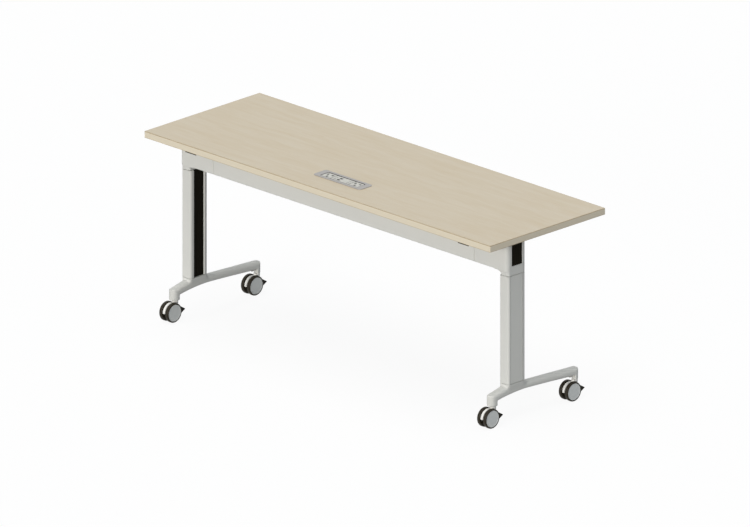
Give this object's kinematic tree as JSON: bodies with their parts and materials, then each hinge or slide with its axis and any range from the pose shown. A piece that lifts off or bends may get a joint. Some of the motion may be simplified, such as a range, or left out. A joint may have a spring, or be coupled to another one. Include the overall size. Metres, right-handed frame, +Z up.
{
  "type": "flip-top training desk",
  "caption": "Mobile desk: a rectangular laminate top that flips up on a beam frame, with cast T-shaped legs, braked swivel castors and a flush power and data outlet.",
  "frame": {"origin": "on the floor below the middle of the top", "axes": "+X along the length of the top, +Y towards the side where people sit, -Y towards the beam side, +Z up"},
  "size_m": [1.8, 0.6, 0.7423],
  "materials": {
    "laminate": "pale wood-grain melamine, satin",
    "edging": "plastic edge band in the colour of the laminate",
    "painted_steel": "warm light grey powder coat, satin",
    "painted_alloy": "warm light grey powder coat over die-cast or extruded aluminium, satin",
    "black_steel": "black powder coat",
    "black_plastic": "fine matt grain",
    "tyre_rubber": "dark brown-black tread, slightly glossy",
    "cap_plastic": "mid grey, satin",
    "hood_plastic": "very light grey, satin",
    "bare_steel": "turned or drawn, zinc plated",
    "bezel_metal": "anodised, lightly brushed",
    "module_plastic": "light grey, semi-gloss"
  },
  "bodies": {
    "frame": {"beam": "painted_steel", "column_left": "painted_alloy", "column_right": "painted_alloy", "cable_cover_left": "black_plastic", "cable_cover_right": "black_plastic", "side_cover_left": "painted_alloy", "side_cover_right": "painted_alloy", "corner_casting_left": "painted_alloy", "corner_casting_right": "painted_alloy", "casting_insert_left": "black_plastic", "casting_insert_right": "black_plastic", "pivot_pin_left": "bare_steel", "pivot_pin_right": "bare_steel", "foot_left": "painted_alloy", "foot_right": "painted_alloy", "castor_front_left_stem": "bare_steel", "castor_front_right_stem": "bare_steel", "castor_rear_left_stem": "bare_steel", "castor_rear_right_stem": "bare_steel"},
    "top": {"table_top": "laminate", "edge_band": "edging", "flip_bracket_left": "black_steel", "flip_bracket_right": "black_steel", "outlet_bezel": "bezel_metal", "outlet_housing": "black_plastic", "cable_gland": "black_plastic", "socket_left": "module_plastic", "socket_right": "module_plastic", "data_plate": "module_plastic"},
    "latch": {"latch_bar_left": "bare_steel", "latch_bar_right": "bare_steel", "latch_pull_bar": "black_plastic"},
    "front_left_fork": {"castor_front_left_hood": "hood_plastic", "castor_front_left_axle": "bare_steel"},
    "front_left_wheel_left": {"castor_front_left_wheel_left": "tyre_rubber", "castor_front_left_cap_left": "cap_plastic"},
    "front_left_wheel_right": {"castor_front_left_wheel_right": "tyre_rubber", "castor_front_left_cap_right": "cap_plastic"},
    "front_left_pedal": {"castor_front_left_brake_pedal": "black_plastic"},
    "front_right_fork": {"castor_front_right_hood": "hood_plastic", "castor_front_right_axle": "bare_steel"},
    "front_right_wheel_left": {"castor_front_right_wheel_left": "tyre_rubber", "castor_front_right_cap_left": "cap_plastic"},
    "front_right_wheel_right": {"castor_front_right_wheel_right": "tyre_rubber", "castor_front_right_cap_right": "cap_plastic"},
    "front_right_pedal": {"castor_front_right_brake_pedal": "black_plastic"},
    "rear_left_fork": {"castor_rear_left_hood": "hood_plastic", "castor_rear_left_axle": "bare_steel"},
    "rear_left_wheel_left": {"castor_rear_left_wheel_left": "tyre_rubber", "castor_rear_left_cap_left": "cap_plastic"},
    "rear_left_wheel_right": {"castor_rear_left_wheel_right": "tyre_rubber", "castor_rear_left_cap_right": "cap_plastic"},
    "rear_left_pedal": {"castor_rear_left_brake_pedal": "black_plastic"},
    "rear_right_fork": {"castor_rear_right_hood": "hood_plastic", "castor_rear_right_axle": "bare_steel"},
    "rear_right_wheel_left": {"castor_rear_right_wheel_left": "tyre_rubber", "castor_rear_right_cap_left": "cap_plastic"},
    "rear_right_wheel_right": {"castor_rear_right_wheel_right": "tyre_rubber", "castor_rear_right_cap_right": "cap_plastic"},
    "rear_right_pedal": {"castor_rear_right_brake_pedal": "black_plastic"}
  },
  "joints": [
    {"name": "top_flip", "type": "hinge", "parent": "frame", "child": "top", "pos_m": [0, -0.145, 0.6717], "axis": [1, 0, 0], "range_deg": [0, 90]},
    {"name": "latch_pull", "type": "slide", "parent": "top", "child": "latch", "axis": [0, 1, 0], "range_m": [0, 0.012], "stiffness_N_per_m": 800, "springref_m": -0.01},
    {"name": "front_left_swivel", "type": "hinge", "parent": "frame", "child": "front_left_fork", "pos_m": [-0.827, -0.2125, 0.07], "axis": [0, 0, 1], "continuous": true},
    {"name": "front_left_roll_left", "type": "hinge", "parent": "front_left_fork", "child": "front_left_wheel_left", "pos_m": [-0.827, -0.2365, 0.0375], "axis": [1, 0, 0], "continuous": true},
    {"name": "front_left_roll_right", "type": "hinge", "parent": "front_left_fork", "child": "front_left_wheel_right", "pos_m": [-0.827, -0.2365, 0.0375], "axis": [1, 0, 0], "continuous": true},
    {"name": "front_left_brake", "type": "hinge", "parent": "front_left_fork", "child": "front_left_pedal", "pos_m": [-0.827, -0.2365, 0.0375], "axis": [-1, 0, 0], "range_deg": [0, 18]},
    {"name": "front_right_swivel", "type": "hinge", "parent": "frame", "child": "front_right_fork", "pos_m": [0.827, -0.2125, 0.07], "axis": [0, 0, 1], "continuous": true},
    {"name": "front_right_roll_left", "type": "hinge", "parent": "front_right_fork", "child": "front_right_wheel_left", "pos_m": [0.827, -0.2365, 0.0375], "axis": [1, 0, 0], "continuous": true},
    {"name": "front_right_roll_right", "type": "hinge", "parent": "front_right_fork", "child": "front_right_wheel_right", "pos_m": [0.827, -0.2365, 0.0375], "axis": [1, 0, 0], "continuous": true},
    {"name": "front_right_brake", "type": "hinge", "parent": "front_right_fork", "child": "front_right_pedal", "pos_m": [0.827, -0.2365, 0.0375], "axis": [-1, 0, 0], "range_deg": [0, 18]},
    {"name": "rear_left_swivel", "type": "hinge", "parent": "frame", "child": "rear_left_fork", "pos_m": [-0.827, 0.2125, 0.07], "axis": [0, 0, 1], "continuous": true},
    {"name": "rear_left_roll_left", "type": "hinge", "parent": "rear_left_fork", "child": "rear_left_wheel_left", "pos_m": [-0.827, 0.1885, 0.0375], "axis": [1, 0, 0], "continuous": true},
    {"name": "rear_left_roll_right", "type": "hinge", "parent": "rear_left_fork", "child": "rear_left_wheel_right", "pos_m": [-0.827, 0.1885, 0.0375], "axis": [1, 0, 0], "continuous": true},
    {"name": "rear_left_brake", "type": "hinge", "parent": "rear_left_fork", "child": "rear_left_pedal", "pos_m": [-0.827, 0.1885, 0.0375], "axis": [-1, 0, 0], "range_deg": [0, 18]},
    {"name": "rear_right_swivel", "type": "hinge", "parent": "frame", "child": "rear_right_fork", "pos_m": [0.827, 0.2125, 0.07], "axis": [0, 0, 1], "continuous": true},
    {"name": "rear_right_roll_left", "type": "hinge", "parent": "rear_right_fork", "child": "rear_right_wheel_left", "pos_m": [0.827, 0.1885, 0.0375], "axis": [1, 0, 0], "continuous": true},
    {"name": "rear_right_roll_right", "type": "hinge", "parent": "rear_right_fork", "child": "rear_right_wheel_right", "pos_m": [0.827, 0.1885, 0.0375], "axis": [1, 0, 0], "continuous": true},
    {"name": "rear_right_brake", "type": "hinge", "parent": "rear_right_fork", "child": "rear_right_pedal", "pos_m": [0.827, 0.1885, 0.0375], "axis": [-1, 0, 0], "range_deg": [0, 18]}
  ]
}
